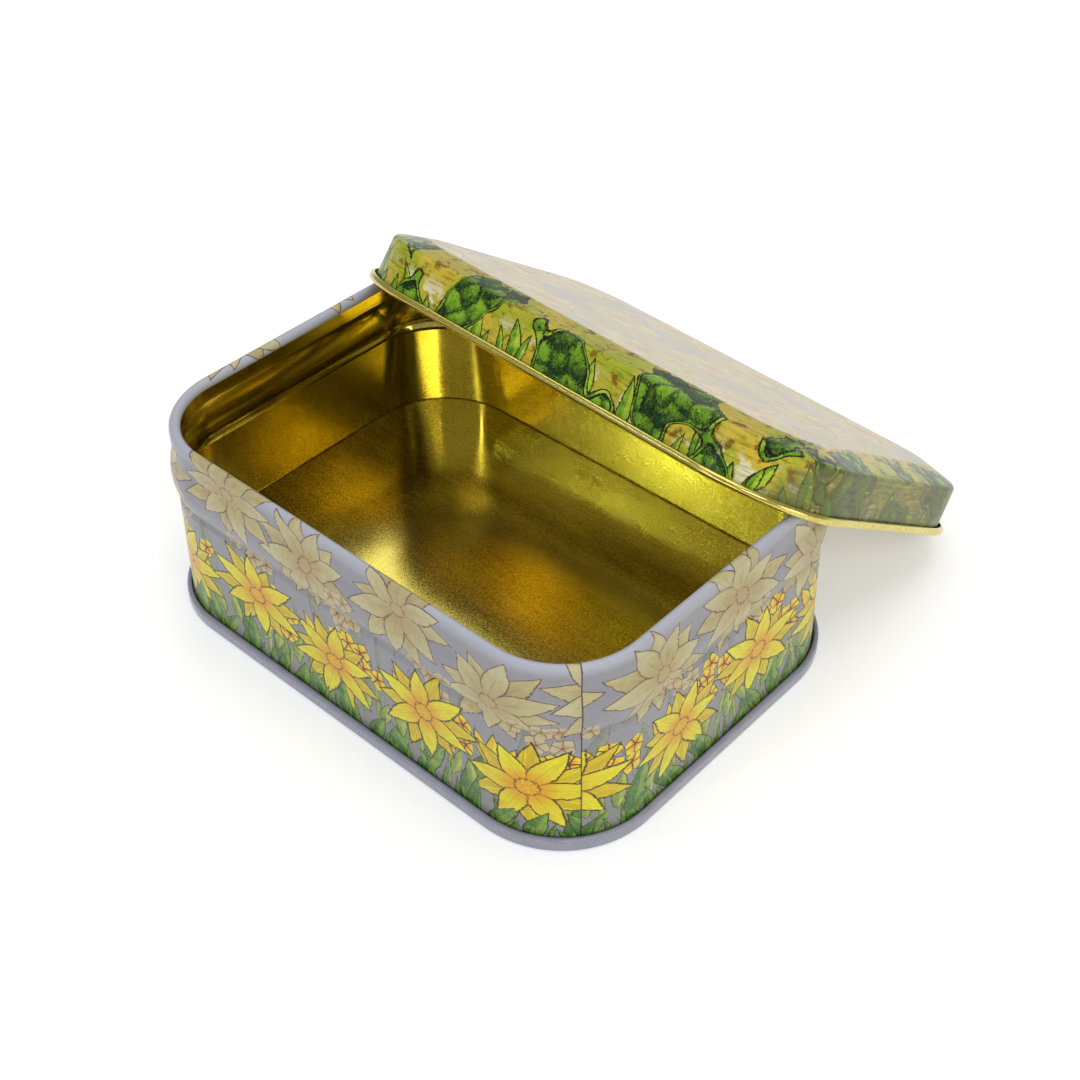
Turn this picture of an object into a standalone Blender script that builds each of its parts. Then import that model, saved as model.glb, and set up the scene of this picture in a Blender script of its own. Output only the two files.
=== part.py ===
# Keepsake tin of printed tinplate: a band with a curled rim and a friction bead,
# a seamed base pan with a raised floor, and a slip lid that lies over the back of the tin.
# Metres, +Z up, the tin's foot and the lid's far edge on z = 0.
import math

import bmesh
import bpy
from mathutils import Euler, Vector

# Plan of the tin, along the centre line of its curled rim
RIM_LENGTH = 0.110
RIM_WIDTH = 0.080
CORNER_RADIUS = 0.0171

# Tinplate sheet, and the gaps where pieces meet
SHEET = 0.00025
SEAT_GAP = 0.0003
SLIP_GAP = 0.0012

# Band: heights from the foot, and how far its wall leaves the neck's line
TIN_HEIGHT = 0.0429
RIM_CURL_RADIUS = 0.0011
BEAD_TOP = 0.0385
CREASE_HEIGHT = 0.0275
BEAD_RISE = 0.0011
CREASE_INSET = 0.0002
WALL_STEP = 0.0003
WALL_STEP_DROP = 0.0010
FOOT_FLARE = 0.0010
BAND_FLANGE = 0.00075

# Base pan
FLOOR_HEIGHT = 0.0073
FLOOR_EDGE_RADIUS = 0.0009
SEAM_HEIGHT = 0.0028
SEAM_TOP_RADIUS = 0.0007
SEAM_FOOT_RADIUS = 0.00045
PAN_BEND_RADIUS = 0.0003

# Lid: heights from the middle of its curl to the shoulder, then a margin that slopes up
# to a flat panel. How it lies: turned about Z, tipped back about X, rolled about Y
LID_SHOULDER = 0.00945
LID_CURL_RADIUS = 0.00085
LID_EDGE_RADIUS = 0.0010
LID_SKIRT_LEAN = 0.0004
LID_MARGIN = 0.0065
LID_MARGIN_SLOPE = math.radians(14.5)
LID_PANEL_BEND = 0.0025
LID_SWING = math.radians(-1.0)
LID_TIP = math.radians(-34.7)
LID_ROLL = math.radians(1.2)
LID_SHIFT = 0.00125

# Points per round stretch
CORNER_STEPS = 8
CURL_STEPS = 9
EDGE_STEPS = 4
BEND_STEPS = 3
BEAD_STEPS = 7
SMOOTH_ANGLE = math.radians(38)


def clearScene():
    for item in list(bpy.data.objects):
        bpy.data.objects.remove(item, do_unlink=True)


def makeMaterial(name, colour, roughness, metallic):
    material = bpy.data.materials.new(name)
    material.use_nodes = True
    shader = material.node_tree.nodes["Principled BSDF"]
    shader.inputs["Base Color"].default_value = (*colour, 1.0)
    shader.inputs["Roughness"].default_value = roughness
    shader.inputs["Metallic"].default_value = metallic
    material.diffuse_color = (*colour, 1.0)
    return material


def printedBandFinish():
    return makeMaterial("band_print", (0.36, 0.35, 0.37), 0.35, 0.0)


def goldLacquerFinish():
    return makeMaterial("gold_lacquer", (0.62, 0.42, 0.08), 0.28, 1.0)


def printedLidFinish():
    return makeMaterial("lid_print", (0.50, 0.50, 0.22), 0.32, 0.0)


# A round stretch of a sheet's section. A section's points are (outward, up), and the
# angle runs from outward towards up.
def arc(centre, radius, start, end, steps):
    points = []
    for step in range(steps + 1):
        angle = math.radians(start + (end - start) * step / steps)
        points.append((centre[0] + radius * math.cos(angle), centre[1] + radius * math.sin(angle)))
    return points


# One ring round the tin: a rounded rectangle that lies outward of the rim's centre line.
def ringPoints(outward, height):
    centreX = RIM_LENGTH / 2 - CORNER_RADIUS
    centreY = RIM_WIDTH / 2 - CORNER_RADIUS
    radius = CORNER_RADIUS + outward
    corners = [(1, 1, 0), (-1, 1, 90), (-1, -1, 180), (1, -1, 270)]
    points = []
    for sideX, sideY, start in corners:
        for step in range(CORNER_STEPS + 1):
            angle = math.radians(start + 90 * step / CORNER_STEPS)
            x = sideX * centreX + radius * math.cos(angle)
            y = sideY * centreY + radius * math.sin(angle)
            points.append((x, y, height))
    return points


# Sweeps a section round the tin as one skin, closes it with a flat panel if asked,
# and gives it the sheet's thickness.
def formSheet(name, section, closedByPanel, material):
    form = bmesh.new()
    rings = [[form.verts.new(point) for point in ringPoints(*spot)] for spot in section]
    count = len(rings[0])
    for lower, upper in zip(rings, rings[1:]):
        for index in range(count):
            following = (index + 1) % count
            form.faces.new((lower[index], lower[following], upper[following], upper[index]))
    if closedByPanel:
        form.faces.new(rings[-1])
    bmesh.ops.recalc_face_normals(form, faces=form.faces[:])
    mesh = bpy.data.meshes.new(name)
    form.to_mesh(mesh)
    form.free()
    mesh.shade_smooth()
    mesh.set_sharp_from_angle(angle=SMOOTH_ANGLE)
    mesh.materials.append(material)
    piece = bpy.data.objects.new(name, mesh)
    bpy.context.collection.objects.link(piece)
    thickness = piece.modifiers.new("sheet", "SOLIDIFY")
    thickness.thickness = SHEET
    thickness.offset = 0.0
    thickness.use_even_offset = True
    return piece


# The neck's line is the sheet just under the rim's curl. The other walls refer to it.
def neckLine():
    return RIM_CURL_RADIUS - SHEET / 2


def footLine():
    return neckLine() + FOOT_FLARE


# The lower wall leans in from the top of the base seam to the step under the crease.
def lowerWallEnds():
    return (SEAM_HEIGHT + SEAT_GAP, CREASE_HEIGHT - WALL_STEP_DROP)


def lowerWallLine(height):
    bottom, top = lowerWallEnds()
    share = (height - bottom) / (top - bottom)
    return footLine() + (neckLine() + WALL_STEP - footLine()) * share


# The friction bead: a half wave from the crease up to the neck.
def beadPoints():
    points = []
    for step in range(BEAD_STEPS + 1):
        share = step / BEAD_STEPS
        outward = neckLine() - CREASE_INSET * (1 - share) + BEAD_RISE * math.sin(math.pi * share)
        points.append((outward, CREASE_HEIGHT + (BEAD_TOP - CREASE_HEIGHT) * share))
    return points


def bandFlangeTip():
    return footLine() + SHEET / 2 + BAND_FLANGE


# From the flange in the base seam, up the wall, over the bead, and round the inward curl.
def bandSection():
    flangeHeight = SHEET + SEAT_GAP + SHEET / 2
    curlCentre = (0.0, TIN_HEIGHT - RIM_CURL_RADIUS)
    section = [
        (bandFlangeTip(), flangeHeight),
        (footLine(), flangeHeight),
    ]
    section += [(lowerWallLine(height), height) for height in lowerWallEnds()]
    section += beadPoints()
    section += arc(curlCentre, neckLine(), 0, 285, CURL_STEPS)
    return section


# From the seam's lip, down to the foot, up the inner wall, to the edge of the floor.
# The band's wall is nearest to the pan at the floor.
def panSection():
    lipTip = footLine() + SHEET / 2 + SEAT_GAP
    outerWall = bandFlangeTip() + SEAT_GAP + SHEET / 2
    innerWall = lowerWallLine(FLOOR_HEIGHT) - SHEET - SEAT_GAP
    topBend = SEAM_TOP_RADIUS - SHEET / 2
    footBend = SEAM_FOOT_RADIUS - SHEET / 2
    floorBend = FLOOR_EDGE_RADIUS - SHEET / 2
    footHeight = SHEET / 2
    section = [(lipTip, SEAM_HEIGHT - SHEET / 2)]
    section += arc((outerWall - topBend, SEAM_HEIGHT - SHEET / 2 - topBend), topBend, 90, 0, BEND_STEPS)
    section += arc((outerWall - footBend, footHeight + footBend), footBend, 0, -90, BEND_STEPS)
    section += arc((innerWall + PAN_BEND_RADIUS, footHeight + PAN_BEND_RADIUS),
                   PAN_BEND_RADIUS, -90, -180, BEND_STEPS)
    section += arc((innerWall - floorBend, FLOOR_HEIGHT - SHEET / 2 - floorBend),
                   floorBend, 0, 90, BEND_STEPS)
    return section


# The skirt passes outside the rim with the slip gap; its curl stops on the bead's slope.
def skirtLine():
    return RIM_CURL_RADIUS + SLIP_GAP + SHEET / 2


# From the end of the outward curl, round under it, up the skirt, over the shoulder,
# and up the sloping margin to the flat panel. Zero height is the middle of the curl.
def lidSection():
    curlBend = LID_CURL_RADIUS - SHEET / 2
    edgeBend = LID_EDGE_RADIUS - SHEET / 2
    edgeCentre = (skirtLine() - LID_SKIRT_LEAN - edgeBend, LID_SHOULDER - SHEET / 2 - edgeBend)
    leaning = 90 - math.degrees(LID_MARGIN_SLOPE)
    inward, upward = math.cos(LID_MARGIN_SLOPE), math.sin(LID_MARGIN_SLOPE)
    section = arc((skirtLine() + curlBend, 0.0), curlBend, 90, -180, CURL_STEPS)
    section += arc(edgeCentre, edgeBend, 0, leaning, EDGE_STEPS)
    marginFoot = section[-1]
    marginTop = (marginFoot[0] - LID_MARGIN * inward, marginFoot[1] + LID_MARGIN * upward)
    panelCentre = (marginTop[0] - LID_PANEL_BEND * upward, marginTop[1] - LID_PANEL_BEND * inward)
    section += arc(panelCentre, LID_PANEL_BEND, leaning, 90, BEND_STEPS)
    return section


# Lays the lid down: its far curl touches the table, and the inside of its top comes
# to rest on the rim at the back of the tin.
def layLid(lid):
    turn = Euler((LID_TIP, LID_ROLL, LID_SWING), "YXZ")
    spin = turn.to_matrix()
    depsgraph = bpy.context.evaluated_depsgraph_get()
    corners = [spin @ vertex.co for vertex in lid.evaluated_get(depsgraph).data.vertices]
    drop = -min(corner.z for corner in corners)
    normal = spin @ Vector((0.0, 0.0, 1.0))
    underPanel = lidSection()[-1][1] - SHEET / 2
    underTop = spin @ Vector((0.0, 0.0, underPanel)) + Vector((LID_SHIFT, 0.0, drop))
    halfBack = RIM_LENGTH / 2 - CORNER_RADIUS
    backRim = [Vector((x, RIM_WIDTH / 2, TIN_HEIGHT - RIM_CURL_RADIUS)) for x in (-halfBack, halfBack)]
    nearest = min(normal.dot(underTop - point) for point in backRim)
    back = (RIM_CURL_RADIUS + SEAT_GAP - nearest) / normal.y
    lid.rotation_mode = "YXZ"
    lid.rotation_euler = turn
    lid.location = (LID_SHIFT, back, drop)


# Puts the frame's origin under the middle of everything, on the table.
def centreOnTable(root, pieces):
    bpy.context.view_layer.update()
    depsgraph = bpy.context.evaluated_depsgraph_get()
    points = []
    for piece in pieces:
        shaped = piece.evaluated_get(depsgraph)
        points += [shaped.matrix_world @ vertex.co for vertex in shaped.data.vertices]
    for axis in (0, 1):
        values = [point[axis] for point in points]
        root.location[axis] = -(min(values) + max(values)) / 2


def buildTin():
    clearScene()
    root = bpy.data.objects.new("tin_frame", None)
    bpy.context.collection.objects.link(root)
    band = formSheet("body_band", bandSection(), False, printedBandFinish())
    pan = formSheet("base_pan", panSection(), True, goldLacquerFinish())
    lid = formSheet("lid", lidSection(), True, printedLidFinish())
    bpy.context.view_layer.update()
    layLid(lid)
    for piece in (band, pan, lid):
        piece.parent = root
    centreOnTable(root, (band, pan, lid))


buildTin()
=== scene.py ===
import math

import bmesh
import bpy
from mathutils import Euler, Matrix, Vector


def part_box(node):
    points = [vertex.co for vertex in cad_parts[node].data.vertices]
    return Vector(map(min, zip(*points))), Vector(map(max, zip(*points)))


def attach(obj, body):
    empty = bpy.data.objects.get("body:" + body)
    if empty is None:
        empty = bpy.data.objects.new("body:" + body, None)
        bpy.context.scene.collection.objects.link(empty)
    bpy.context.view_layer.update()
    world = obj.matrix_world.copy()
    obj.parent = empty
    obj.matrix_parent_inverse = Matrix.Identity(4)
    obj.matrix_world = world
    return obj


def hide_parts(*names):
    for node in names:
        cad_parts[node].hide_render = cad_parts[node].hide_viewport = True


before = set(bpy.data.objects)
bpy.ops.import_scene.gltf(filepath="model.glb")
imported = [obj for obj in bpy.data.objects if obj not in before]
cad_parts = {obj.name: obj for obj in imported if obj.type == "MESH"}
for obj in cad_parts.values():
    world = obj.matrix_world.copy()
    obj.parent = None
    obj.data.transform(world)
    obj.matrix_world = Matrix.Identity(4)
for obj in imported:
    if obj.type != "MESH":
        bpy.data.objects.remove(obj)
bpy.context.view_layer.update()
mm = 0.001
fullTurn = 2 * math.pi

# The sheet metal that all three pieces are made of, and the plan that they share
tinplate = {
    "thickness": 0.25 * mm,
    "rimLength": 110 * mm,
    "rimWidth": 80 * mm,
    "cornerRadius": 17.1 * mm,
    "cornerSteps": 26,
    "straightSteps": 6,
    "sharpFrom": math.radians(15),
}


class Value:
    # Wraps one socket of a material. Arithmetic on it adds Math nodes.
    def __init__(self, tree, socket=None):
        self.tree = tree
        self.socket = socket

    def node(self, kind, settings, sockets, output=0):
        made = self.tree.nodes.new(kind)
        for name, setting in settings.items():
            if name == "stops":
                while len(made.color_ramp.elements) < len(setting):
                    made.color_ramp.elements.new(1.0)
                for element, (place, colour) in zip(made.color_ramp.elements, setting):
                    element.position = place
                    element.color = (*colour, 1.0)
            else:
                setattr(made, name, setting)
        for name, item in sockets.items():
            if isinstance(item, Value):
                self.tree.links.new(item.socket, made.inputs[name])
            elif isinstance(item, tuple) and len(item) == 3 and made.inputs[name].type == "RGBA":
                made.inputs[name].default_value = (*item, 1.0)
            else:
                made.inputs[name].default_value = item
        return Value(self.tree, made.outputs[output])

    def maths(self, operation, *items, clamp=False):
        settings = {"operation": operation, "use_clamp": clamp}
        return self.node("ShaderNodeMath", settings, dict(enumerate(items)))

    def __add__(self, other):
        return self.maths("ADD", self, other)

    def __radd__(self, other):
        return self.maths("ADD", other, self)

    def __sub__(self, other):
        return self.maths("SUBTRACT", self, other)

    def __rsub__(self, other):
        return self.maths("SUBTRACT", other, self)

    def __mul__(self, other):
        return self.maths("MULTIPLY", self, other)

    def __rmul__(self, other):
        return self.maths("MULTIPLY", other, self)

    def __truediv__(self, other):
        return self.maths("DIVIDE", self, other)

    def __rtruediv__(self, other):
        return self.maths("DIVIDE", other, self)

    def __pow__(self, other):
        return self.maths("POWER", self, other)

    def __abs__(self):
        return self.maths("ABSOLUTE", self)


def smaller(first, second):
    return first.maths("MINIMUM", first, second)


def larger(first, second):
    return first.maths("MAXIMUM", first, second)


def kept(value):
    return value.maths("ADD", value, 0.0, clamp=True)  # held between 0 and 1


# One inside a shape and nought outside, over an edge as wide as the blur
def soft(inside, blur=0.16):
    return inside.maths("MULTIPLY_ADD", inside, 1 / blur, 0.5, clamp=True)


# From nought at the start to one at the end, easing in and out
def rise(value, start, end):
    return value.node("ShaderNodeMapRange", {"interpolation_type": "SMOOTHSTEP"},
                      {"Value": value, "From Min": start, "From Max": end})


def whole(value):
    return value.maths("FLOOR", value)


def nearest(value):
    return value.maths("ROUND", value)


def part(value):
    return value.maths("FRACT", value)


def sine(value):
    return value.maths("SINE", value)


def cosine(value):
    return value.maths("COSINE", value)


def pair(first, second):
    return first.node("ShaderNodeCombineXYZ", {}, {"X": first, "Y": second})


def split(vector):
    return [vector.node("ShaderNodeSeparateXYZ", {}, {0: vector}, name) for name in ("X", "Y", "Z")]


def mixed(under, over, share):
    start = share if isinstance(share, Value) else under if isinstance(under, Value) else over
    return start.node("ShaderNodeMix", {"data_type": "RGBA"}, {0: share, 6: under, 7: over}, 2)


def darkened(under, tint, share):
    return share.node("ShaderNodeMix", {"data_type": "RGBA", "blend_type": "MULTIPLY"},
                      {0: share, 6: under, 7: tint}, 2)


def clouds(place, scale, detail=3.0, roughness=0.55, distortion=0.0):
    sockets = {"Vector": place, "Scale": scale, "Detail": detail, "Roughness": roughness,
               "Distortion": distortion}
    return place.node("ShaderNodeTexNoise", {"noise_dimensions": "2D"}, sockets)


def stretched(place, across, along):
    return place.node("ShaderNodeMapping", {}, {"Vector": place, "Scale": (across, along, 1.0)})


# Three random values between nought and one that belong to a number
def chances(number):
    settings = {"noise_dimensions": "1D"}
    return split(number.node("ShaderNodeTexWhiteNoise", settings, {"W": number}, "Color"))


def roughened(height, strength, distance):
    sockets = {"Strength": strength, "Distance": distance, "Height": height}
    return height.node("ShaderNodeBump", {}, sockets)


def mapped(material, name):
    return Value(material.node_tree).node("ShaderNodeUVMap", {"uv_map": name}, {})


def newMaterial(name):
    material = bpy.data.materials.new(name)
    material.use_nodes = True
    return material


def feed(material, **sockets):
    shader = material.node_tree.nodes["Principled BSDF"]
    for name, item in sockets.items():
        socket = shader.inputs[name.replace("_", " ")]
        if isinstance(item, Value):
            material.node_tree.links.new(item.socket, socket)
        else:
            socket.default_value = item


# A round stretch of a section. Its points are (outward, up), and angles run from outward to up.
def arc(centre, radius, start, end, steps):
    points = []
    for step in range(steps + 1):
        angle = math.radians(start + (end - start) * step / steps)
        points.append((centre[0] + radius * math.cos(angle), centre[1] + radius * math.sin(angle)))
    return points


# Columns round the rounded rectangle: place on the rim line, direction outward, run along it.
# They start at startAngle in the corner between the front and the right side. Extra columns
# stand the given lengths to either side of that start.
def planColumns(startAngle, extra=()):
    halfX = tinplate["rimLength"] / 2 - tinplate["cornerRadius"]
    halfY = tinplate["rimWidth"] / 2 - tinplate["cornerRadius"]
    radius = tinplate["cornerRadius"]
    steps = tinplate["cornerSteps"]
    straight = tinplate["straightSteps"]
    marks = []
    run = 0.0
    corners = [(1, -1, startAngle, 360), (1, 1, 0, 90), (-1, 1, 90, 180), (-1, -1, 180, 270),
               (1, -1, 270, startAngle)]
    for index, (sideX, sideY, start, end) in enumerate(corners):
        count = max(2, round(steps * (end - start) / 90))
        angles = [start + (end - start) * step / count for step in range(count + 1)]
        aside = [math.degrees(more / radius) for more in extra]
        if index == 0:
            angles[1:1] = [start + more for more in aside]
        if index == 4:
            angles[-1:-1] = [end - more for more in reversed(aside)]
        for degrees in angles:
            angle = math.radians(degrees)
            out = Vector((math.cos(angle), math.sin(angle)))
            here = run + radius * math.radians(degrees - start)
            marks.append((Vector((sideX * halfX, sideY * halfY)) + radius * out, out, here))
        run += radius * math.radians(end - start)
        if index < 4:
            length = 2 * (halfY, halfX, halfY, halfX)[index]
            last = marks[-1]
            direction = Vector((-last[1].y, last[1].x))
            for step in range(1, straight):
                marks.append((last[0] + direction * length * step / straight, last[1],
                              run + length * step / straight))
            run += length
    return marks[:-1], run


def lengthsAlong(section):
    lengths = [0.0]
    for before, after in zip(section, section[1:]):
        lengths.append(lengths[-1] + math.dist(before, after))
    return lengths


# How far each point of a section lies outward once the sheet is pressed flat
def flatReach(section):
    lengths = lengthsAlong(section)
    return [section[-1][0] + lengths[-1] - length for length in lengths]


# Sweeps a section of (outward, up) points round the plan. Each face carries two maps in
# millimetres: "strip" is (run round the tin, length up the section), and "blank" is the
# flat sheet seen from above.
def sweep(name, section, columns, total, dips=None, panel=False, flip=False):
    form = bmesh.new()
    strip = form.loops.layers.uv.new("strip")
    blank = form.loops.layers.uv.new("blank")
    lengths = lengthsAlong(section)
    reach = flatReach(section)
    rings = []
    for outward, up in section:
        ring = []
        for index, (spot, out, run) in enumerate(columns):
            sunk = outward + (dips or {}).get(index, 0.0)
            ring.append(form.verts.new((*(spot + out * sunk), up)))
        rings.append(ring)
    count = len(columns)
    runs = [run for spot, out, run in columns] + [total]
    for level in range(len(rings) - 1):
        for index in range(count):
            following = (index + 1) % count
            corners = [(level, index, index), (level, following, index + 1),
                       (level + 1, following, index + 1), (level + 1, index, index)]
            face = form.faces.new([rings[row][column] for row, column, place in corners])
            for loop, (row, column, place) in zip(face.loops, corners):
                spot, out, run = columns[column]
                flat = spot + out * reach[row]
                loop[strip].uv = (runs[place] / mm, lengths[row] / mm)
                loop[blank].uv = (flat.x / mm, flat.y / mm)
    if panel:
        face = form.faces.new(rings[-1])
        for loop, (spot, out, run) in zip(face.loops, columns):
            flat = spot + out * reach[-1]
            loop[strip].uv = (run / mm, lengths[-1] / mm)
            loop[blank].uv = (flat.x / mm, flat.y / mm)
    bmesh.ops.recalc_face_normals(form, faces=form.faces[:])
    if flip:
        bmesh.ops.reverse_faces(form, faces=form.faces[:])
    mesh = bpy.data.meshes.new(name)
    form.to_mesh(mesh)
    form.free()
    mesh.shade_smooth()
    mesh.set_sharp_from_angle(angle=tinplate["sharpFrom"])
    piece = bpy.data.objects.new(name, mesh)
    bpy.context.scene.collection.objects.link(piece)
    return piece


# The outside face keeps the first material, the inside face takes the second, cut edges the third
def thicken(piece, outside, inside, edge):
    for material in (outside, inside, edge):
        piece.data.materials.append(material)
    sheet = piece.modifiers.new("sheet", "SOLIDIFY")
    sheet.thickness = tinplate["thickness"]
    sheet.offset = 0.0
    sheet.use_even_offset = True
    sheet.material_offset = 1
    sheet.material_offset_rim = 2


# Scales of the noise in these looks are per millimetre of the sheet
goldLook = {
    "dark": (0.545, 0.460, 0.070),
    "light": (0.77, 0.645, 0.200),
    "stain": (0.535, 0.415, 0.055),
    "cloudScale": 0.12,
    "smearScale": (0.10, 0.75),
    "speckScale": 1.9,
    "waveScale": 0.06,
    "stainScale": 0.07,
    "grainDepth": 0.06 * mm,
    "coat": 0.2,
    "coatRoughness": 0.3,
    "wall": {"roughness": 0.09, "grain": 0.06},
    "sheet": {"roughness": 0.20, "grain": 0.30},
}


# The roller's smears lie along the sheet's run, or up the wall where the lacquer is turned
def goldLacquer(name, mapName, look, finish, turned=False):
    material = newMaterial(name)
    place = mapped(material, mapName)
    across, along = reversed(look["smearScale"]) if turned else look["smearScale"]
    cloud = clouds(place, look["cloudScale"])
    smear = clouds(stretched(place, across, along), 1.0, 3.0, 0.6)
    speck = clouds(place, look["speckScale"], 2.0, 0.6)
    wave = clouds(place, look["waveScale"], 1.0)
    paleness = kept(cloud * 0.9 + smear * 0.5 - 0.2 + (speck - 0.5) * 2.4)
    colour = mixed(look["dark"], look["light"], paleness)
    stained = rise(clouds(place, look["stainScale"], 4.0, 0.6), 0.5, 0.7) * 0.4
    colour = mixed(colour, look["stain"], stained)
    rough = look[finish]["roughness"] + (speck - 0.5) * 0.14 + (smear - 0.5) * 0.10
    bump = roughened(speck * 0.6 + wave * 0.8, look[finish]["grain"], look["grainDepth"])
    feed(material, Base_Color=colour, Roughness=rough, Metallic=1.0, Normal=bump,
         Coat_Weight=look["coat"], Coat_Roughness=look["coatRoughness"])
    return material


panLook = {
    "enamel": (0.265, 0.265, 0.335),
    "enamelPale": (0.345, 0.345, 0.41),
    "scuff": (0.42, 0.42, 0.47),
    "cloudScale": 0.35,
    "fineScale": 2.6,
    "roughness": 0.30,
    "grain": 0.12,
    "grainDepth": 0.05 * mm,
    "coat": 0.35,
    "coatRoughness": 0.12,
}


def lavenderLacquer(look):
    material = newMaterial("lavender_lacquer")
    place = mapped(material, "strip")
    cloud = clouds(place, look["cloudScale"])
    fine = clouds(place, look["fineScale"], 3.0, 0.6)
    colour = mixed(look["enamel"], look["enamelPale"], kept(cloud * 1.3 - 0.15))
    colour = mixed(colour, look["scuff"], rise(fine, 0.63, 0.74) * 0.5)
    rough = look["roughness"] + (fine - 0.5) * 0.25
    bump = roughened(fine * 0.6 + cloud, look["grain"], look["grainDepth"])
    feed(material, Base_Color=colour, Roughness=rough, Normal=bump,
         Coat_Weight=look["coat"], Coat_Roughness=look["coatRoughness"])
    return material


steelLook = {"dark": (0.34, 0.33, 0.30), "light": (0.52, 0.50, 0.45), "scale": 4.0, "roughness": 0.35}


def cutSteel(look):
    material = newMaterial("cut_steel")
    fine = clouds(mapped(material, "strip"), look["scale"], 2.0)
    feed(material, Base_Color=mixed(look["dark"], look["light"], fine),
         Roughness=look["roughness"] + fine * 0.2, Metallic=1.0)
    return material


# A motif is a node group, so that its sums are made once and used in many places
def motif(name, build, inputs):
    group = bpy.data.node_groups.get(name)
    tree = next(item.tree for item in inputs.values() if isinstance(item, Value))
    if group is None:
        group = bpy.data.node_groups.new(name, "ShaderNodeTree")
        kinds = {}
        for key, item in inputs.items():
            colour = isinstance(item, tuple) or (isinstance(item, Value) and item.socket.type == "RGBA")
            kinds[key] = "NodeSocketColor" if colour else "NodeSocketFloat"
            group.interface.new_socket(key, in_out="INPUT", socket_type=kinds[key])
        entry = group.nodes.new("NodeGroupInput")
        results = build(**{key: Value(group, entry.outputs[key]) for key in inputs})
        for key, item in results.items():
            kind = "NodeSocketColor" if item.socket.type == "RGBA" else "NodeSocketFloat"
            group.interface.new_socket(key, in_out="OUTPUT", socket_type=kind)
        leave = group.nodes.new("NodeGroupOutput")
        for key, item in results.items():
            group.links.new(item.socket, leave.inputs[key])
    used = Value(tree).node("ShaderNodeGroup", {"node_tree": group}, inputs)
    return {item.name: Value(tree, item) for item in used.socket.node.outputs}


# A place as seen from axes that are turned by an angle
def spunBy(x, y, angle):
    turn, lift = cosine(angle), sine(angle)
    return x * turn + y * lift, y * turn - x * lift


# One row of cells along the tin: the place within the cell, and three chances for it
def buildRow(along, period, shift, seed):
    place = (along + shift) / period
    number = whole(place)
    first, second, third = chances(number + seed)
    return {"x": (part(place) - 0.5) * period, "first": first, "second": second, "third": third}


def cellRow(along, period, shift, seed):
    cell = motif("cell row", buildRow, {"along": along, "period": period, "shift": shift, "seed": seed})
    return cell["x"], (cell["first"], cell["second"], cell["third"])


# A whorl of petals round the origin. "inside" is how deep a point lies within its petal, in
# millimetres, and "divide" is the same but cut where the next petal begins.
def buildWhorl(x, y, count, turn, length, width, fullness, spread, seed):
    share = x.maths("ARCTAN2", y, x) * count / fullTurn + turn
    number = nearest(share)
    local = (share - number) * fullTurn / count
    reach = (x * x + y * y) ** 0.5
    along = reach * cosine(local)
    own = number - whole(number / count) * count
    first, second, third = chances(own + seed)
    tip = along / (length * (1 - spread / 2 + first * spread))
    aside = reach * sine(local) + tip * tip * (second - 0.5) * width * 0.9
    half = width * sine(kept(tip) ** fullness * math.pi)
    inside = half - abs(aside) - larger(tip - 1, 0.0) * length
    gap = reach * sine(math.pi / count - abs(local))
    return {"inside": inside, "divide": smaller(inside, gap + 0.06), "tip": tip, "aside": aside,
            "own": third}


def whorl(x, y, count, turn, length, width, fullness, spread, seed):
    return motif("whorl of petals", buildWhorl, {
        "x": x, "y": y, "count": count, "turn": turn, "length": length, "width": width,
        "fullness": fullness, "spread": spread, "seed": seed})


# A pen line along the edge of a shape, or a little inside it
def penned(inside, penWidth, inset=0.04):
    return soft(penWidth - abs(inside - inset), 0.12)


# Two whorls of six petals, one behind the other, and a round heart with a glow about it
def buildBlossom(under, x, y, wash, pen, length, width, fullness, heart, penWidth, seed, cover,
                 root, tip, core, shade, penColour):
    colour = under
    for turn, size, depth in ((0.0, 1.0, 0.75), (0.5, 0.95, 0.0)):
        ring = whorl(x, y, 6.0, turn, length * size, width, fullness, 0.3, seed + turn * 37)
        streak = clouds(pair(ring["aside"] * 3.0, ring["tip"] * 2.0 + seed), 1.0, 2.0)
        ripeness = kept(ring["tip"] * 1.5 - 0.35 + (wash - 0.5) * 1.3 + (ring["own"] - 0.5) * 0.5)
        petal = darkened(mixed(root, tip, ripeness), shade, kept(streak * 2.8 - 1.45 + depth))
        crease = penned(ring["aside"], 0.06, 0.0) * kept(1.3 - ring["tip"] * 1.6)
        petal = mixed(petal, penColour, crease * 0.55)
        fray = ring["inside"] + (wash - 0.5) * 0.7
        colour = mixed(colour, petal, soft(fray) * cover)
        line = smaller(ring["divide"] + (wash - 0.5) * 0.7, ring["divide"] + 0.5)
        colour = mixed(colour, penColour, penned(line, penWidth) * pen)
    reach = (x * x + y * y) ** 0.5
    dots = clouds(pair(x, y), 2.2, 1.0)
    glow = soft(heart * 1.9 - reach + (wash - 0.5) * 2.0, 2.6)
    colour = mixed(colour, core, glow * 0.7 * cover)
    middle = heart - reach + (dots - 0.5) * 0.9
    colour = mixed(colour, mixed(core, root, kept(dots * 3.0 - 1.1)), soft(middle) * cover)
    return {"colour": mixed(colour, penColour, penned(middle, penWidth, 0.0) * pen * 0.8)}


def blossom(under, x, y, wash, pen, sizes, colours, seed):
    return motif("blossom", buildBlossom, {
        "under": under, "x": x, "y": y, "wash": wash, "pen": pen, **sizes, "seed": seed,
        **colours})["colour"]


# A leaf, blade or upright petal that grows up from its foot, one in each cell of a row
veinTint = (0.40, 0.50, 0.32)
usualLeaf = {"shift": 0.0, "foot": 1.4, "vary": 0.5, "tilt": 0.0, "lean": 0.6, "curl": 0.5,
             "fullness": 0.8, "veins": 1.5, "veinDepth": 0.5, "penWidth": 0.1, "cover": 1.0}


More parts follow.
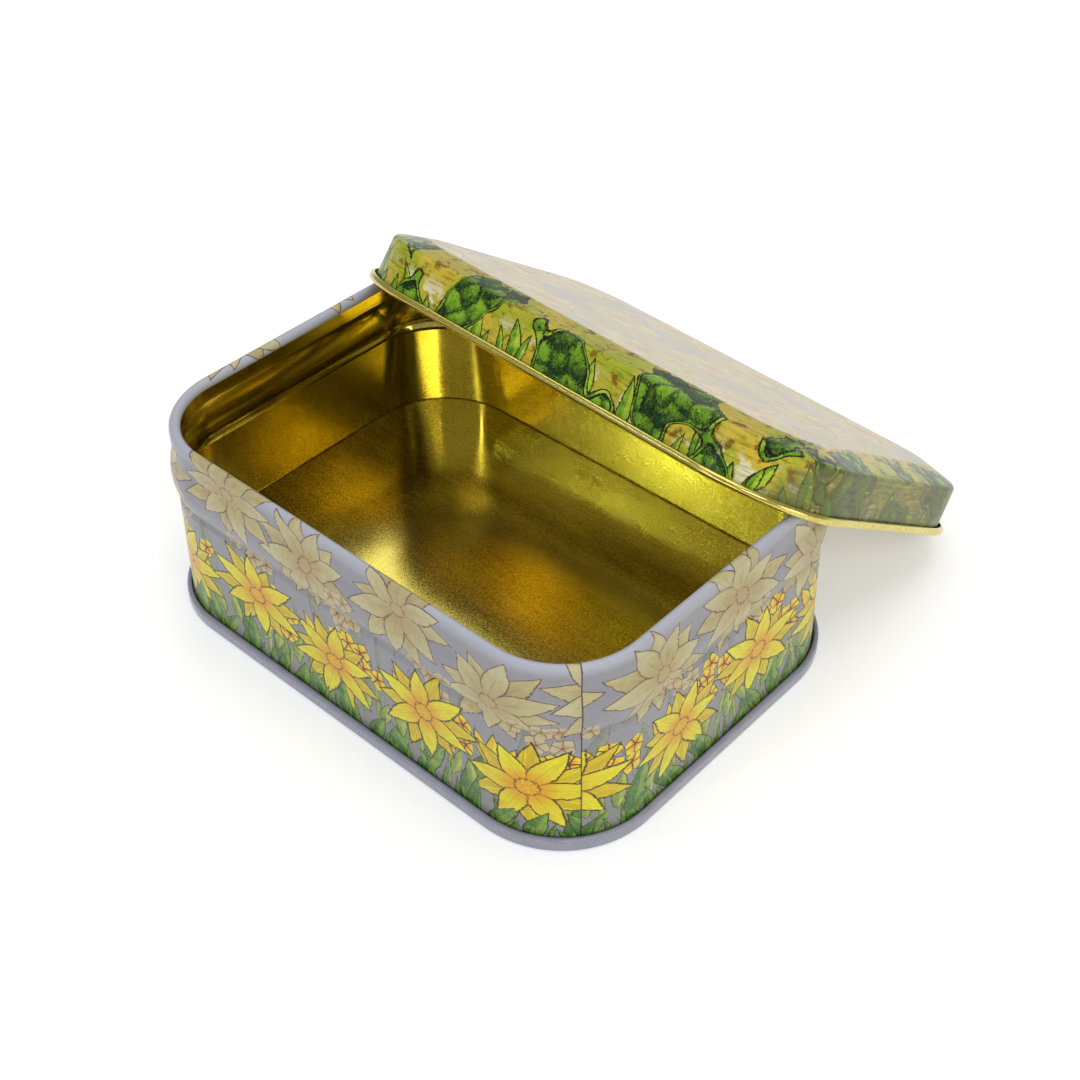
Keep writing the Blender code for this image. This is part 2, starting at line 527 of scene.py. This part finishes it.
def buildLeaf(under, along, up, wash, pen, period, shift, foot, height, vary, width, tilt, lean,
              curl, fullness, veins, veinDepth, penWidth, cover, seed, light, dark, penColour):
    x, (first, second, third) = cellRow(along, period, shift, seed)
    x = x + (first - 0.5) * period * 0.3
    y = up - foot
    tall = height * (1 + (second - 0.5) * vary)
    share = y / tall
    aside = x - y * (tilt + (third - 0.5) * lean) - y * share * (first - 0.5) * curl
    half = width * sine(kept(share) ** fullness * math.pi)
    beyond = larger(larger(share - 1, 0.0 - share), 0.0) * tall
    inside = half - abs(aside) - beyond + (wash - 0.5) * 0.5
    fill = mixed(dark, light, kept(soft(aside, 0.5) * 0.6 + (wash - 0.5) * 2.0 + share * 0.35))
    vein = soft(0.08 - abs(part((y - abs(aside) * 1.3) / veins) - 0.5))
    fill = darkened(fill, veinTint, vein * veinDepth)
    fill = mixed(fill, penColour, penned(aside, 0.07, 0.0) * veinDepth * pen)
    colour = mixed(under, fill, soft(inside) * cover)
    return {"colour": mixed(colour, penColour, penned(inside, penWidth) * pen)}


def leafRow(under, along, up, wash, pen, sizes, colours, seed):
    return motif("leaf", buildLeaf, {
        "under": under, "along": along, "up": up, "wash": wash, "pen": pen,
        **usualLeaf, **sizes, "seed": seed, **colours})["colour"]


# Small round florets in bunches, from a jittered grid that keeps only the cells within a bunch
def buildBunch(under, along, up, wash, pen, spacing, radius, petal, period, shift, wide, tall,
               middle, penWidth, cover, seed, root, tip, penColour):
    place = pair(along, up)
    centre = place.node("ShaderNodeTexVoronoi", {"feature": "F1", "voronoi_dimensions": "2D"},
                        {"Vector": place, "Scale": 1 / spacing, "Randomness": 0.6}, "Position")
    centreX, centreY = split(centre)[:2]
    x, y = along - centreX, up - centreY
    bunch, chance = cellRow(centreX, period, shift, seed)
    sideways = (bunch - (chance[0] - 0.5) * 4) / wide
    upward = (centreY - middle - (chance[1] - 0.5) * 4) / tall
    chosen = soft(1 - sideways * sideways - upward * upward, 0.02)
    ring = whorl(x, y, 5.0, centreX * 0.3, radius, petal, 0.95, 0.3, seed + 7)
    fill = mixed(root, tip, kept(ring["tip"] * 1.9 - 0.25 + (wash - 0.5) * 1.2))
    colour = mixed(under, fill, soft(ring["inside"]) * chosen * cover)
    colour = mixed(colour, penColour, penned(ring["divide"], penWidth) * pen * chosen)
    reach = (x * x + y * y) ** 0.5
    return {"colour": mixed(colour, penColour, soft(0.36 - reach) * chosen * 0.6 * cover)}


def bunchRow(under, along, up, wash, pen, sizes, colours, seed):
    return motif("floret bunch", buildBunch, {
        "under": under, "along": along, "up": up, "wash": wash, "pen": pen, **sizes, "seed": seed,
        **colours})["colour"]


ghostFlower = {"period": 46.0, "wander": 5.0, "length": 12.4, "width": 2.5, "fullness": 0.80,
               "heart": 1.7, "penWidth": 0.13, "cover": 0.92}
brightFlower = {"period": 46.0, "wander": 3.0, "length": 12.4, "width": 2.35, "fullness": 0.80,
                "heart": 2.1, "penWidth": 0.20, "cover": 1.0}
bud = {"period": 23.0, "shift": 19.5, "curl": 0.1, "veins": 20.0}
budPetal = {**bud, "width": 1.9, "lean": 0.15, "vary": 0.2, "fullness": 0.7, "veinDepth": 0.3,
            "penWidth": 0.13}
bandLook = {
    "ground": (0.292, 0.288, 0.312),
    "groundLight": (0.330, 0.326, 0.350),
    "groundLow": (0.225, 0.232, 0.185),
    # Painted highlight: a paler, bluish tone for the sky light that the rim curl catches
    "rim": (0.55, 0.56, 0.64),
    "seam": (0.050, 0.035, 0.040),
    "hatch": (0.022, 0.060, 0.022),
    "ghostBlossom": {"root": (0.480, 0.400, 0.190), "tip": (0.610, 0.550, 0.290),
                     "core": (0.50, 0.35, 0.16), "shade": (0.90, 0.82, 0.66),
                     "penColour": (0.150, 0.075, 0.065)},
    "ghostBunch": {"root": (0.52, 0.35, 0.15), "tip": (0.60, 0.50, 0.28),
                   "penColour": (0.19, 0.11, 0.08)},
    "ghostLeaf": {"light": (0.310, 0.330, 0.235), "dark": (0.215, 0.240, 0.175),
                  "penColour": (0.150, 0.115, 0.10)},
    "brightBlossom": {"root": (0.78, 0.58, 0.010), "tip": (0.84, 0.80, 0.020),
                      "core": (0.78, 0.30, 0.010), "shade": (0.78, 0.62, 0.22),
                      "penColour": (0.060, 0.018, 0.010)},
    "brightBunch": {"root": (0.78, 0.25, 0.010), "tip": (0.86, 0.66, 0.012),
                    "penColour": (0.050, 0.015, 0.010)},
    "bud": {"light": (0.87, 0.76, 0.025), "dark": (0.78, 0.44, 0.010),
            "penColour": (0.045, 0.014, 0.010)},
    "leaf": {"light": (0.25, 0.41, 0.060), "dark": (0.055, 0.165, 0.022),
             "penColour": (0.014, 0.030, 0.010)},
    "paleLeaf": {"light": (0.50, 0.57, 0.12), "dark": (0.19, 0.31, 0.045),
                 "penColour": (0.030, 0.035, 0.012)},
    # Faded growth high on the wall, then bright growth from the foot up, each from back to
    # front: what it is, its colours, its seed, and its sizes in millimetres of the sheet
    "growth": [
        ("leaves", "ghostLeaf", 11.0, {
            "period": 8.7, "shift": 2.0, "foot": 3.0, "height": 30.0, "width": 0.7, "lean": 0.35,
            "penWidth": 0.04, "cover": 0.8, "veinDepth": 0.2}),
        ("leaves", "ghostLeaf", 17.0, {
            "period": 12.3, "shift": 6.5, "foot": 10.0, "height": 20.0, "width": 2.3, "lean": 0.7,
            "penWidth": 0.05, "cover": 0.75, "veinDepth": 0.3}),
        ("blossoms", "ghostBlossom", 41.0, {**ghostFlower, "shift": 9.0, "middle": 34.0}),
        ("bunches", "ghostBunch", 71.0, {
            "spacing": 3.9, "radius": 2.3, "petal": 1.25, "period": 23.0, "shift": 14.0,
            "wide": 6.2, "tall": 4.4, "middle": 28.5, "penWidth": 0.11, "cover": 0.9}),
        ("blossoms", "ghostBlossom", 54.0, {**ghostFlower, "shift": 32.0, "middle": 37.5}),
        ("leaves", "paleLeaf", 111.0, {
            "period": 6.1, "shift": 1.0, "height": 20.0, "width": 0.55, "lean": 0.4,
            "penWidth": 0.06, "veinDepth": 0.1}),
        ("leaves", "leaf", 117.0, {
            "period": 9.7, "shift": 5.0, "height": 16.0, "width": 2.3, "lean": 1.1,
            "penWidth": 0.13}),
        ("leaves", "bud", 131.0, {**budPetal, "tilt": -0.55, "foot": 15.0, "height": 8.0}),
        ("leaves", "bud", 131.0, {**budPetal, "tilt": 0.55, "foot": 15.0, "height": 8.0}),
        ("leaves", "bud", 131.0, {**budPetal, "tilt": 0.0, "foot": 14.8, "height": 9.4}),
        ("leaves", "paleLeaf", 131.0, {
            **bud, "foot": 11.6, "height": 5.4, "width": 1.8, "lean": 0.1, "vary": 0.1,
            "fullness": 1.1, "veinDepth": 0.2}),
        ("leaves", "paleLeaf", 141.0, {
            "period": 5.7, "shift": 2.0, "foot": 7.0, "height": 8.0, "width": 1.5, "lean": 1.0,
            "penWidth": 0.11, "veinDepth": 0.3}),
        ("bunches", "brightBunch", 171.0, {
            "spacing": 4.1, "radius": 2.6, "petal": 1.4, "period": 23.0, "shift": 8.5,
            "wide": 7.0, "tall": 5.8, "middle": 18.5, "penWidth": 0.17, "cover": 1.0}),
        ("blossoms", "brightBlossom", 211.0, {**brightFlower, "shift": 2.0, "middle": 15.0}),
        ("blossoms", "brightBlossom", 228.0, {**brightFlower, "shift": 25.5, "middle": 17.0}),
        ("leaves", "leaf", 311.0, {
            "period": 7.3, "shift": 3.0, "foot": 1.0, "height": 9.0, "width": 1.9, "lean": 1.6,
            "curl": 0.9, "penWidth": 0.12, "veins": 1.2}),
        ("leaves", "leaf", 318.0, {
            "period": 3.1, "shift": 0.4, "foot": 0.6, "height": 6.0, "width": 0.55, "lean": 0.8,
            "penWidth": 0.08, "veinDepth": 0.1}),
    ],
    "washScale": 0.55,
    "fineScale": 2.2,
    "grain": 0.10,
    "grainDepth": 0.05 * mm,
    "specular": 0.3,
    "coat": 0.2,
    "coatRoughness": 0.12,
}


def bandPrint(look):
    material = newMaterial("printed_band")
    place = mapped(material, "strip")
    straight, straightUp = split(place)[:2]
    wash = clouds(place, look["washScale"], 4.0, 0.6, 0.4)
    fine = clouds(place, look["fineScale"], 3.0, 0.6)
    along, up = straight + (fine - 0.5) * 0.34, straightUp + (wash - 0.5) * 0.4
    pen = kept(fine * 3.2 - 0.5)

    def leaves(under, colours, seed, sizes):
        return leafRow(under, along, up, wash, pen, sizes, colours, seed)

    def bunches(under, colours, seed, sizes):
        return bunchRow(under, along, up, wash, pen, sizes, colours, seed)

    # One flower in each cell of a row, set off its middle by chance and turned any way
    def blossoms(under, colours, seed, sizes):
        row = ("period", "shift", "middle", "wander")
        own = {key: size for key, size in sizes.items() if key not in row}
        x, (first, second, third) = cellRow(along, sizes["period"], sizes["shift"], seed)
        x = x + (first - 0.5) * sizes["wander"]
        y = up - sizes["middle"] + (second - 0.5) * sizes["wander"]
        y = y * (1.05 + third * 0.25)
        x, y = spunBy(x, y, third * fullTurn)
        return blossom(under, x, y, wash, pen, own, colours, seed + 20.0)

    colour = mixed(look["ground"], look["groundLight"], kept(wash * 1.6 - 0.3))
    lowness = rise(up, 24.0, 7.0) * (0.5 + (wash - 0.5) * 1.1)
    colour = mixed(colour, look["groundLow"], lowness)
    # Painted highlight: the rim curl is made paler and bluish, for the sky light that it catches
    colour = mixed(colour, look["rim"], rise(straightUp, 41.0, 44.0) * 0.8)
    draw = {"leaves": leaves, "bunches": bunches, "blossoms": blossoms}
    for form, colours, seed, sizes in look["growth"]:
        colour = draw[form](colour, look[colours], seed, sizes)

    # Pen strokes along the foot, and the lapped side seam where the strip's ends meet
    hatch = soft(0.09 - abs(part(straight * 0.9 + up * 0.35 + fine * 0.9) - 0.5), 0.2)
    colour = mixed(colour, look["hatch"], hatch * rise(up, 6.5, 2.0) * 0.6)
    edge = smaller(abs(straight), abs(straight - bandTotal / mm))
    colour = mixed(colour, look["seam"], soft(0.15 - edge, 0.12) * 0.85)

    rough = 0.36 + (fine - 0.5) * 0.16
    bump = roughened(fine * 0.5 + clouds(place, 0.10, 1.0) * 3.0, look["grain"], look["grainDepth"])
    feed(material, Base_Color=colour, Roughness=rough, Normal=bump,
         Specular_IOR_Level=look["specular"], Coat_Weight=look["coat"],
         Coat_Roughness=look["coatRoughness"])
    return material


lidLook = {
    "field": (0.56, 0.45, 0.12),
    "fieldPale": (0.74, 0.62, 0.28),
    "fieldPink": (0.66, 0.52, 0.40),
    "fieldGrey": (0.40, 0.38, 0.36),
    "fieldShade": (0.66, 0.56, 0.40),
    "lime": (0.42, 0.47, 0.022),
    "ochre": (0.66, 0.50, 0.045),
    "ochreDeep": (0.22, 0.085, 0.004),
    "cream": (0.80, 0.74, 0.46),
    "groundShade": (0.42, 0.38, 0.12),
    "slateAndShade": (0.165, 0.165, 0.060),
    "faintBlossom": {"root": (0.66, 0.46, 0.20), "tip": (0.80, 0.70, 0.34),
                     "core": (0.64, 0.36, 0.14), "shade": (0.85, 0.75, 0.55),
                     "penColour": (0.30, 0.20, 0.12)},
    "bush": {"light": (0.27, 0.52, 0.022), "dark": (0.005, 0.034, 0.003),
             "penColour": (0.008, 0.004, 0.002)},
    "limeLeaf": {"light": (0.52, 0.68, 0.045), "dark": (0.09, 0.27, 0.008),
                 "penColour": (0.016, 0.005, 0.002)},
    "faintSizes": {"length": 10.5, "width": 2.6, "fullness": 0.8, "heart": 1.6,
                   "penWidth": 0.06, "cover": 0.6},
    "faintPeriod": 26.0,
    # Plants between the clumps: how many go round the lid, their seed and their sizes
    "plants": [
        (38, 411.0, {"foot": 1.0, "height": 9.5, "width": 1.5, "lean": 0.9, "penWidth": 0.16,
                     "veins": 1.7, "veinDepth": 0.3}),
        (71, 432.0, {"shift": 1.0, "foot": 1.0, "height": 6.0, "width": 0.9, "lean": 0.6,
                     "penWidth": 0.14, "veins": 9.0, "veinDepth": 0.2}),
    ],
    # Clumps: colours, spacing of their leaves, where the cloud that places them starts, and height
    "bushes": [("limeLeaf", 3.4, 0.49, 14.5), ("bush", 4.4, 0.52, 18.5)],
    "clumpScale": 0.062,
    "borderTop": (20.6, 19.2),
    "slateAndShadeFrom": (52.0, 57.0),
    "washScale": 0.45,
    "fineScale": 2.0,
    "broadScale": 0.05,
    "patchScale": 0.085,
    "grain": 0.10,
    "grainDepth": 0.05 * mm,
    "specular": 0.2,
    "coatRoughness": 0.12,
}


# Clumps of broad leaves: loose cells, each dark at its foot, with brush strokes and a heavy pen line
def buildBush(under, x, y, wash, pen, fine, spacing, mask, light, dark, penColour):
    x, y = x + (wash - 0.5) * 3.0, y + (fine - 0.5) * 3.0
    place = pair(x, y)
    sockets = {"Vector": place, "Scale": 1 / spacing, "Randomness": 1.0}
    cells = place.node("ShaderNodeTexVoronoi", {"feature": "F1", "voronoi_dimensions": "2D"}, sockets)
    outputs = cells.socket.node.outputs
    centre = split(Value(place.tree, outputs["Position"]))
    hue = split(Value(place.tree, outputs["Color"]))
    settings = {"feature": "DISTANCE_TO_EDGE", "voronoi_dimensions": "2D"}
    edge = place.node("ShaderNodeTexVoronoi", settings, sockets) * spacing
    drop = (y - centre[1]) / spacing
    turnX, turnY = spunBy(x, y, hue[1] * 3.0)
    strokes = clouds(pair(turnX * 3.0, turnY * 0.6), 1.0, 2.0)
    tone = kept(0.42 + drop * 0.9 + (strokes - 0.5) * 2.4 + (hue[0] - 0.5) * 0.9)
    fill = mixed(mixed(dark, light, tone), dark, soft(0.5 - edge, 0.7) * 0.7)
    colour = mixed(under, fill, soft(mask, 0.2))
    divide = soft(0.20 + (strokes - 0.5) * 0.4 - edge, 0.14) * soft(mask + 0.1, 0.2)
    divide = divide * kept(hue[1] * 2.0 - 0.3)
    border = soft(0.42 + (wash - 0.5) * 0.9 - abs(mask), 0.14)
    return {"colour": mixed(colour, penColour, larger(divide, border) * pen)}


def lidPrint(look):
    material = newMaterial("printed_lid")
    place = mapped(material, "blank")
    strip = mapped(material, "strip")
    x, y = split(place)[:2]
    straight, straightUp = split(strip)[:2]
    wash = clouds(place, look["washScale"], 4.0, 0.62, 0.6)
    fine = clouds(place, look["fineScale"], 3.0, 0.6)
    broad = clouds(place, look["broadScale"], 2.0)
    patch = clouds(place, look["patchScale"], 2.0, 0.5)
    pen = kept(fine * 3.2 - 0.5)
    up = straightUp + (broad - 0.5) * 6.0 + (wash - 0.5) * 1.5
    along = straight + (fine - 0.5) * 0.5

    # A pale field on the panel, with faint flowers in rows
    colour = mixed(look["field"], look["fieldPale"], kept(wash * 2.6 - 0.9))
    pinkness = rise(patch + (wash - 0.5) * 0.2, 0.40, 0.66) * 0.9
    colour = mixed(colour, look["fieldPink"], pinkness)
    greyness = rise(broad + (wash - 0.5) * 0.3, 0.44, 0.70) * 0.6
    colour = mixed(colour, look["fieldGrey"], greyness)
    streaks = clouds(stretched(place, 0.30, 1.7), 1.0, 3.0)
    colour = darkened(colour, look["fieldShade"], kept(streaks * 3.4 - 1.6) * 0.8)
    cellX, chanceX = cellRow(x, look["faintPeriod"], 6.0, 21.0)
    cellY, chanceY = cellRow(y, look["faintPeriod"], 13.0, 33.0)
    turnX, turnY = spunBy(cellX + (chanceY[0] - 0.5) * 5.0, cellY + (chanceX[0] - 0.5) * 5.0,
                          (chanceX[0] + chanceY[0]) * 5.0)
    colour = blossom(colour, turnX, turnY, wash, pen, look["faintSizes"], look["faintBlossom"], 81.0)

    # A border of rough ground over the skirt and the margin, with clumps and plants on it
    brushed = clouds(stretched(strip, 0.22, 1.5), 1.0, 4.0, 0.6)
    ground = mixed(look["lime"], look["ochre"], kept(wash * 3.4 - 1.2 + (patch - 0.5) * 4.0))
    deep = rise(clouds(place, 0.28, 4.0, 0.65), 0.54, 0.66) * 0.85
    ground = mixed(ground, look["ochreDeep"], deep)
    creamy = rise(clouds(place, 0.16), 0.52, 0.60) * rise(straightUp, 11.0, 7.0)
    ground = mixed(ground, look["cream"], creamy)
    ground = darkened(ground, look["groundShade"], kept(brushed * 4.4 - 2.2) * 0.8)
    edge = straightUp + (broad - 0.5) * 5.0 + (wash - 0.5) * 2.0
    colour = mixed(colour, ground, rise(edge, *look["borderTop"]))

    clumps = clouds(pair(x - 13.0, y), look["clumpScale"], 2.0, 0.4)
    between = rise(clumps, 0.52, 0.48)
    for count, seed, sizes in look["plants"]:
        sizes = {**sizes, "period": lidTotal / mm / count, "cover": between}
        colour = leafRow(colour, along, up, wash, pen * between, sizes, look["limeLeaf"], seed)
    ragged = up + (wash - 0.5) * 9 + (fine - 0.5) * 3
    for kind, spacing, start, top in look["bushes"]:
        mask = smaller((clumps - start) * 60, top - ragged)
        colour = motif("bush", buildBush, {
            "under": colour, "x": x, "y": y, "wash": wash, "pen": pen, "fine": fine,
            "spacing": spacing, "mask": mask, **look[kind]})["colour"]
    # Towards the +X end the skirt goes slate: partly a darker print there, partly painted shade for
    # that end of the lid
    slateAndShadeShare = rise(x, *look["slateAndShadeFrom"]) * rise(straightUp, 14.0, 12.0)
    colour = mixed(colour, look["slateAndShade"], slateAndShadeShare * kept(brushed * 2.0 - 0.1) * 0.85)

    rough = 0.30 + (fine - 0.5) * 0.14
    bump = roughened(fine * 0.5 + broad * 3.0, look["grain"], look["grainDepth"])
    feed(material, Base_Color=colour, Roughness=rough, Normal=bump,
         Coat_Weight=0.06 + rise(straightUp, 12.0, 16.0) * 0.2,
         Specular_IOR_Level=look["specular"], Coat_Roughness=look["coatRoughness"])
    return material


# Lengths in metres and angles in degrees. The band's and the pan's heights are from the foot
# of the tin, and the lid's from the middle of its curl.
band = {
    "height": 42.9 * mm,
    "rimCurl": 1.1 * mm,
    "beadTop": 37.2 * mm,
    "crease": 27.5 * mm,
    "beadRise": 1.1 * mm,
    "creaseInset": 0.2 * mm,
    "neckBend": 0.6 * mm,
    "wallStep": 0.3 * mm,
    "wallStepDrop": 1.0 * mm,
    "footFlare": 1.0 * mm,
    "flange": 0.75 * mm,
    "curlEnd": 285,
    "beadSteps": 20,
    "neckSteps": 5,
    "curlSteps": 26,
    "seamAngle": 322,
    "seamDepth": -0.11 * mm,
    "seamWidth": 0.16 * mm,
}
pan = {
    "floorHeight": 7.3 * mm,
    "floorEdge": 0.40 * mm,
    "seamHeight": 2.8 * mm,
    "seamTop": 0.7 * mm,
    "seamFoot": 0.45 * mm,
    "bend": 0.3 * mm,
    "gap": 0.3 * mm,
    "joint": 0.02 * mm,
    "seamTopSteps": 8,
    "seamFootSteps": 7,
    "bendSteps": 5,
    "floorEdgeSteps": 8,
}
lid = {
    "shoulder": 9.45 * mm,
    "curl": 0.845 * mm,
    "edge": 1.0 * mm,
    "skirtLean": 0.4 * mm,
    "margin": 6.5 * mm,
    "marginSlope": 14.5,
    "panelBend": 2.5 * mm,
    "slip": 1.2 * mm,
    "turn": (-34.7, 1.2, -1.0),
    "panelRings": (3, 6, 9),
    "curlSteps": 26,
    "edgeSteps": 10,
    "marginSteps": 3,
    "panelSteps": 6,
    "firstAngle": 315,
}
half = tinplate["thickness"] / 2
neck = band["rimCurl"] - half
footLine = neck + band["footFlare"]
wallLow = pan["seamHeight"] + pan["gap"]
wallHigh = band["crease"] - band["wallStepDrop"]


def wallLine(height):
    share = (height - wallLow) / (wallHigh - wallLow)
    return footLine + (neck + band["wallStep"] - footLine) * share


def bandSection():
    flangeHeight = tinplate["thickness"] + pan["gap"] + half
    section = [(footLine + half + band["flange"], flangeHeight), (footLine, flangeHeight)]
    section += [(wallLine(height), height) for height in (wallLow, wallHigh)]
    # The bead is one round sweep that leaves the crease sharply and meets the neck in a tight bend
    halfSpan = (band["beadTop"] - band["crease"]) / 2
    beadRadius = (halfSpan ** 2 + band["beadRise"] ** 2) / (2 * band["beadRise"])
    beadAngle = math.degrees(math.asin(halfSpan / beadRadius))
    beadCentre = (neck - band["creaseInset"] / 2 + band["beadRise"] - beadRadius,
                  band["crease"] + halfSpan)
    section += arc(beadCentre, beadRadius, -beadAngle, beadAngle - 2, band["beadSteps"])
    bend = band["neckBend"]
    bendHeight = band["beadTop"] + bend * math.sin(math.radians(beadAngle))
    section += arc((neck + bend, bendHeight), bend, 180 + beadAngle, 180, band["neckSteps"])
    section += arc((0.0, band["height"] - band["rimCurl"]), neck, 0, band["curlEnd"], band["curlSteps"])
    return section


def panSection():
    thickness = tinplate["thickness"]
    outerWall = footLine + half + band["flange"] + pan["gap"] + half
    innerWall = wallLine(pan["floorHeight"]) - thickness - pan["joint"]
    bend = pan["bend"]
    top, foot, floorEdge = (pan[name] - half for name in ("seamTop", "seamFoot", "floorEdge"))
    section = [(footLine + half + pan["gap"], pan["seamHeight"] - half)]
    section += arc((outerWall - top, pan["seamHeight"] - half - top), top, 90, 0, pan["seamTopSteps"])
    section += arc((outerWall - foot, half + foot), foot, 0, -90, pan["seamFootSteps"])
    section += arc((innerWall + bend, half + bend), bend, -90, -180, pan["bendSteps"])
    section += arc((innerWall - floorEdge, pan["floorHeight"] - half - floorEdge), floorEdge, 0, 90,
                   pan["floorEdgeSteps"])
    return section


def lidSection():
    skirt = band["rimCurl"] + lid["slip"] + half
    curlBend = lid["curl"] - half
    edgeBend = lid["edge"] - half
    panelBend = lid["panelBend"]
    slope = math.radians(lid["marginSlope"])
    leaning = 90 - lid["marginSlope"]
    section = arc((skirt + curlBend, 0.0), curlBend, 90, -180, lid["curlSteps"])
    section += arc((skirt - lid["skirtLean"] - edgeBend, lid["shoulder"] - half - edgeBend),
                   edgeBend, 0, leaning, lid["edgeSteps"])
    foot = section[-1]
    for step in range(1, lid["marginSteps"]):
        along = lid["margin"] * step / lid["marginSteps"]
        section.append((foot[0] - along * math.cos(slope), foot[1] + along * math.sin(slope)))
    top = (foot[0] - lid["margin"] * math.cos(slope), foot[1] + lid["margin"] * math.sin(slope))
    section += arc((top[0] - panelBend * math.sin(slope), top[1] - panelBend * math.cos(slope)),
                   panelBend, leaning, 90, lid["panelSteps"])
    inner, level = section[-1]
    section += [(inner - ring * mm, level) for ring in lid["panelRings"]]
    return section


print("materials")
bandColumns, bandTotal = planColumns(band["seamAngle"], (band["seamWidth"],))
lidColumns, lidTotal = planColumns(lid["firstAngle"])
steel = cutSteel(steelLook)
bandGold = goldLacquer("gold_lacquer_wall", "strip", goldLook, "wall", turned=True)
sheetGold = goldLacquer("gold_lacquer_sheet", "blank", goldLook, "sheet")
tinCentre = (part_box("body_band")[0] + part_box("body_band")[1]) / 2
tinCentre.z = 0.0

print("band")
section = bandSection()
bandPiece = sweep("printed_band_shell", section, bandColumns, bandTotal,
                  dips={0: band["seamDepth"]})
thicken(bandPiece, bandPrint(bandLook), bandGold, steel)
bandPiece.data.transform(Matrix.Translation(tinCentre))
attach(bandPiece, "tin")
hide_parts("body_band")

print("base pan")
section = panSection()
panPiece = sweep("base_pan_shell", section, bandColumns, bandTotal, panel=True)
thicken(panPiece, lavenderLacquer(panLook), sheetGold, steel)
panPiece.data.transform(Matrix.Translation(tinCentre))
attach(panPiece, "tin")
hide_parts("base_pan")

print("lid")
section = lidSection()
lidPiece = sweep("printed_lid_shell", section, lidColumns, lidTotal, panel=True, flip=True)
thicken(lidPiece, lidPrint(lidLook), sheetGold, steel)
turn = Euler([math.radians(angle) for angle in lid["turn"]], "YXZ")
lidPiece.data.transform(turn.to_matrix().to_4x4())
bpy.context.view_layer.update()
shaped = lidPiece.evaluated_get(bpy.context.evaluated_depsgraph_get())
low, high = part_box("lid")
place = Vector()
for axis in range(3):
    values = [vertex.co[axis] for vertex in shaped.data.vertices]
    place[axis] = (low[axis] + high[axis]) / 2 - (min(values) + max(values)) / 2
lidPiece.data.transform(Matrix.Translation(place))
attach(lidPiece, "lid")
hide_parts("lid")

print("studio")
studio = {
    "floor": (0.93, 0.93, 0.93),
    "floorSize": 60.0,
    "floorDrop": 0.05 * mm,
    "world": 0.38,
    "floorGlow": 0.34,
    "aim": Vector((0.0, 0.0, 0.02)),
    # Name, compass angle from +Y, height angle, distance, size, watts, colour
    "lamps": [
        ("hardLeft", -142, 42, 1.4, (0.05, 0.05), 0.58, (0.72, 0.98, 1.25)),
        ("stripLeft", -167, 36, 1.4, (0.06, 0.40), 0.80, (0.62, 0.68, 1.0)),
        ("stripCamera", 134, 46, 1.4, (0.045, 0.32), 0.42, (0.70, 0.68, 0.9)),
        ("softCamera", 119, 44, 1.4, (0.60, 0.35), 2.70, (0.97, 1.0, 0.95)),
        ("backdrop", -46, 46, 1.4, (0.36, 0.30), 0.85, (0.88, 0.88, 0.70)),
        ("above", 0, 82, 1.5, (1.0, 1.0), 5.6, (1.0, 1.0, 1.0)),
        ("frontFill", 176, 12, 1.5, (1.2, 0.4), 3.0, (1.0, 0.98, 0.99)),
        ("rightFill", 88, 14, 1.5, (0.8, 0.4), 3.5, (1.0, 0.97, 0.90)),
    ],
}
bpy.ops.mesh.primitive_plane_add(size=studio["floorSize"], location=(0.0, 0.0, -studio["floorDrop"]))
floor = bpy.context.object
floor.name = "studio_floor"
paper = newMaterial("floor_paper")

# The floor glows a little where the camera sees it, straight or in metal, so that it shows
# white. It casts none of that glow on the tin.
rays = Value(paper.node_tree).node("ShaderNodeLightPath", {}, {}).socket.node.outputs
direct = Value(paper.node_tree, rays["Is Camera Ray"]) + Value(paper.node_tree, rays["Is Glossy Ray"])
direct = kept(direct + Value(paper.node_tree, rays["Is Transmission Ray"]))
feed(paper, Base_Color=(*studio["floor"], 1.0), Roughness=0.9, Specular_IOR_Level=0.0,
     Emission_Color=mixed((0.0, 0.0, 0.0), (1.0, 1.0, 1.0), direct),
     Emission_Strength=studio["floorGlow"])
floor.data.materials.append(paper)

world = bpy.data.worlds.new("studio_world")
world.use_nodes = True
sky = world.node_tree.nodes["Background"]
sky.inputs["Color"].default_value = (1.0, 1.0, 1.0, 1.0)
sky.inputs["Strength"].default_value = studio["world"]
bpy.context.scene.world = world

for name, compass, height, distance, size, watts, tint in studio["lamps"]:
    compass, height = math.radians(compass), math.radians(height)
    flat = math.cos(height)
    place = distance * Vector((math.sin(compass) * flat, math.cos(compass) * flat, math.sin(height)))
    light = bpy.data.lights.new(name, "AREA")
    light.shape = "RECTANGLE"
    light.size, light.size_y = size
    light.energy = watts
    light.color = tint
    lamp = bpy.data.objects.new(name, light)
    lamp.location = place
    lamp.rotation_euler = (studio["aim"] - place).to_track_quat("-Z", "Y").to_euler()
    bpy.context.scene.collection.objects.link(lamp)

print("camera")
camera = {
    "lens": 55.06,
    "yaw": 42.62,
    "pitch": 41.15,
    "roll": -0.62,
    "distance": 336.435 * mm,
    "right": 8.738 * mm,
    "up": 13.268 * mm,
    "nearest": 10 * mm,
}
yaw, pitch, roll = (math.radians(camera[name]) for name in ("yaw", "pitch", "roll"))
forward = Vector((-math.sin(yaw) * math.cos(pitch), math.cos(yaw) * math.cos(pitch), -math.sin(pitch)))
level = Vector((math.cos(yaw), math.sin(yaw), 0.0))
upright = level.cross(forward)
right = level * math.cos(roll) + upright * math.sin(roll)
up = upright * math.cos(roll) - level * math.sin(roll)
place = tinCentre - forward * camera["distance"] + right * camera["right"] + up * camera["up"]
lens = bpy.data.cameras.new("photo_camera")
lens.lens = camera["lens"]
lens.clip_start = camera["nearest"]
view = bpy.data.objects.new("photo_camera", lens)
view.matrix_world = Matrix.Translation(place) @ Matrix((right, up, -forward)).transposed().to_4x4()
bpy.context.scene.collection.objects.link(view)
bpy.context.scene.camera = view
bpy.context.scene.view_settings.view_transform = "Standard"
